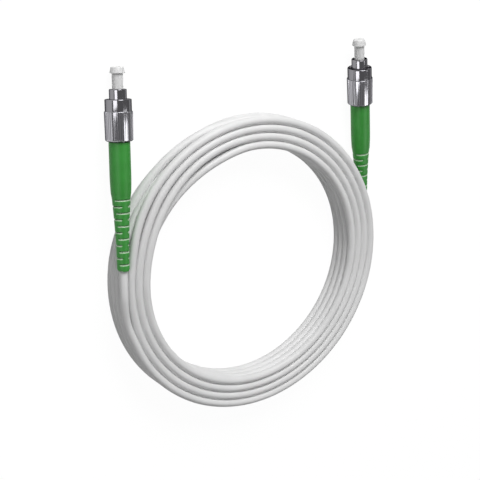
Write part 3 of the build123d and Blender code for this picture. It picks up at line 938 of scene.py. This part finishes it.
# Inner pieces, which keep their solids: the zirconia ferrule, ground and polished white, its
# plated flange, the plated rear body, the crimp sleeve of soft plated brass, pressed dull, and
# the tight buffer on the fibre, extruded in a cream coat. Each slot's finish has a name, a
# colour, its share of metal, a roughness, and the size and strength of its grain.
INNER_RELIEF = 0.1
inner_finishes = {
    "zirconia": ("polished_zirconia", "#F1F0EC", 0.0, 0.12, 0.833, 0.02),
    "nickel_plate": ("inner_nickel_plate", "#C3C2C4", 1.0, 0.2, 0.4, 0.08),
    "crimp_metal": ("pressed_soft_brass_plate", "#BDBAB2", 1.0, 0.34, 0.667, 0.2),
    "buffer_coat": ("extruded_cream_buffer", "#ECE6D2", 0.0, 0.45, 0.4, 0.1),
}
inner_nodes = {
    "ferrule": "zirconia",
    "ferrule_flange": "nickel_plate",
    "rear_body": "nickel_plate",
    "crimp_sleeve": "crimp_metal",
    "fibre_buffer": "buffer_coat",
}
made = {}
for slot, (name, colour, metallic, roughness, size, strength) in inner_finishes.items():
    made[slot], tree, shader = new_material(
        name, {"Base Color": linear(colour), "Metallic": metallic, "Roughness": roughness}
    )
    fine_grain(tree, shader, size=size, detail=2.0, strength=strength, depth=INNER_RELIEF)
for piece, slot in inner_nodes.items():
    for side in CONNECTORS:
        node = frame["nodes"][f"{piece}_{side}"]
        node.data.materials.clear()
        node.data.materials.append(made[slot])

# Table and backdrop: a plain white sweep, flat under the cord and curved up far out, all round
# it. Its shade stays soft, so the cord's shadow on it is faint.
SWEEP_FLAT_R = 3.6
SWEEP_CURVE_R = 1.2
SWEEP_RISE = radians(68)
SWEEP_STEPS = 12
SWEEP_SIDES = 64
SWEEP_MERGE = 1e-6
SWEEP_GLOW = 1.2
SWEEP_GLOW_SHARE = 0.8

sweep_outline = [(0.0, 0.0), (SWEEP_FLAT_R, 0.0)]
for i in range(1, SWEEP_STEPS + 1):
    angle = SWEEP_RISE * i / SWEEP_STEPS
    sweep_outline.append((SWEEP_FLAT_R + SWEEP_CURVE_R * sin(angle), SWEEP_CURVE_R * (1 - cos(angle))))
shape = bmesh.new()
rim = None
for radius, height in sweep_outline:
    ring = []
    for k in range(SWEEP_SIDES):
        angle = 2 * pi * k / SWEEP_SIDES
        ring.append(shape.verts.new((radius * cos(angle), radius * sin(angle), height)))
    if rim:
        for k in range(SWEEP_SIDES):
            n = (k + 1) % SWEEP_SIDES
            shape.faces.new((rim[k], ring[k], ring[n], rim[n]))
    rim = ring
bmesh.ops.remove_doubles(shape, verts=shape.verts, dist=SWEEP_MERGE)
sweep = in_scene("sweep", finished("sweep", shape))
sweep.data.shade_smooth()

white = bpy.data.materials.new("white_sweep")
white.use_nodes = True
tree = white.node_tree
tree.nodes.clear()
ray = add(tree, "ShaderNodeLightPath").outputs
seen = add(tree, "ShaderNodeMath", {0: ray["Is Camera Ray"], 1: ray["Is Glossy Ray"]}, operation="MAXIMUM")
shown = add(tree, "ShaderNodeMath", {0: seen, 1: ray["Is Transmission Ray"]}, operation="MAXIMUM")
share = add(tree, "ShaderNodeMath", {0: shown, 1: SWEEP_GLOW_SHARE}, operation="MULTIPLY")
paper = add(tree, "ShaderNodeBsdfDiffuse", {"Color": linear("#A8A8A8")})
glow = add(tree, "ShaderNodeEmission", {"Color": linear("#FFFFFF"), "Strength": SWEEP_GLOW})
mixed = add(tree, "ShaderNodeMixShader", {0: share, 1: paper, 2: glow})
add(tree, "ShaderNodeOutputMaterial", {"Surface": mixed})
sweep.data.materials.append(white)

# Light: a large soft box above and behind the cord, a weak fill low on the left that only lights
# matt surfaces, and a dim even ceiling. Four cards only show in gloss: each connector has one on
# its left and one on its right, which put the pale bands in its metal.
CEILING_STRENGTH = 0.26
world = bpy.data.worlds.new("ceiling")
world.use_nodes = True
ceiling = world.node_tree.nodes["Background"]
ceiling.inputs["Color"].default_value = linear("#FFFFFF")
ceiling.inputs["Strength"].default_value = CEILING_STRENGTH
bpy.context.scene.world = world

# Each lamp's place, width, length, power, roll in degrees, and the kind of surface it shows on.
soft_boxes = {
    "soft_box": ((0.02, 0.66, 0.46), 0.4, 0.4, 4.5, 0.0, "all"),
    "left_fill": ((-0.52, 0.45, 0.06), 0.3, 0.3, 0.4, 0.0, "matt"),
    "left_card_a": ((-0.655, 0.246, 0.459), 0.46, 0.25, 1.25, 7.0, "gloss"),
    "left_card_b": ((-0.655, -0.19, 0.459), 0.46, 0.2, 1.05, 6.0, "gloss"),
    "right_card_a": ((0.4, 0.008, 0.69), 0.5, 0.12, 0.56, -7.0, "gloss"),
    "right_card_b": ((0.4, -0.322, 0.68), 0.5, 0.28, 1.35, 9.0, "gloss"),
}
for name, (place, width, length, power, roll, shows_on) in soft_boxes.items():
    lamp_data = bpy.data.lights.new(name, "AREA")
    lamp_data.shape = "RECTANGLE"
    lamp_data.size = width
    lamp_data.size_y = length
    lamp_data.energy = power
    lamp = in_scene(name, lamp_data)
    back = Vector(place).normalized()
    sideways = Vector((0, 1, 0)).cross(back).normalized()
    lamp_turn = Matrix((sideways, back.cross(sideways), back)).transposed()
    lamp_turn = lamp_turn @ Matrix.Rotation(radians(roll), 3, "Z")
    lamp.matrix_world = Matrix.Translation(place) @ lamp_turn.to_4x4()
    lamp.visible_diffuse = shows_on != "gloss"
    lamp.visible_glossy = shows_on != "matt"

bpy.context.scene.view_settings.view_transform = "Standard"
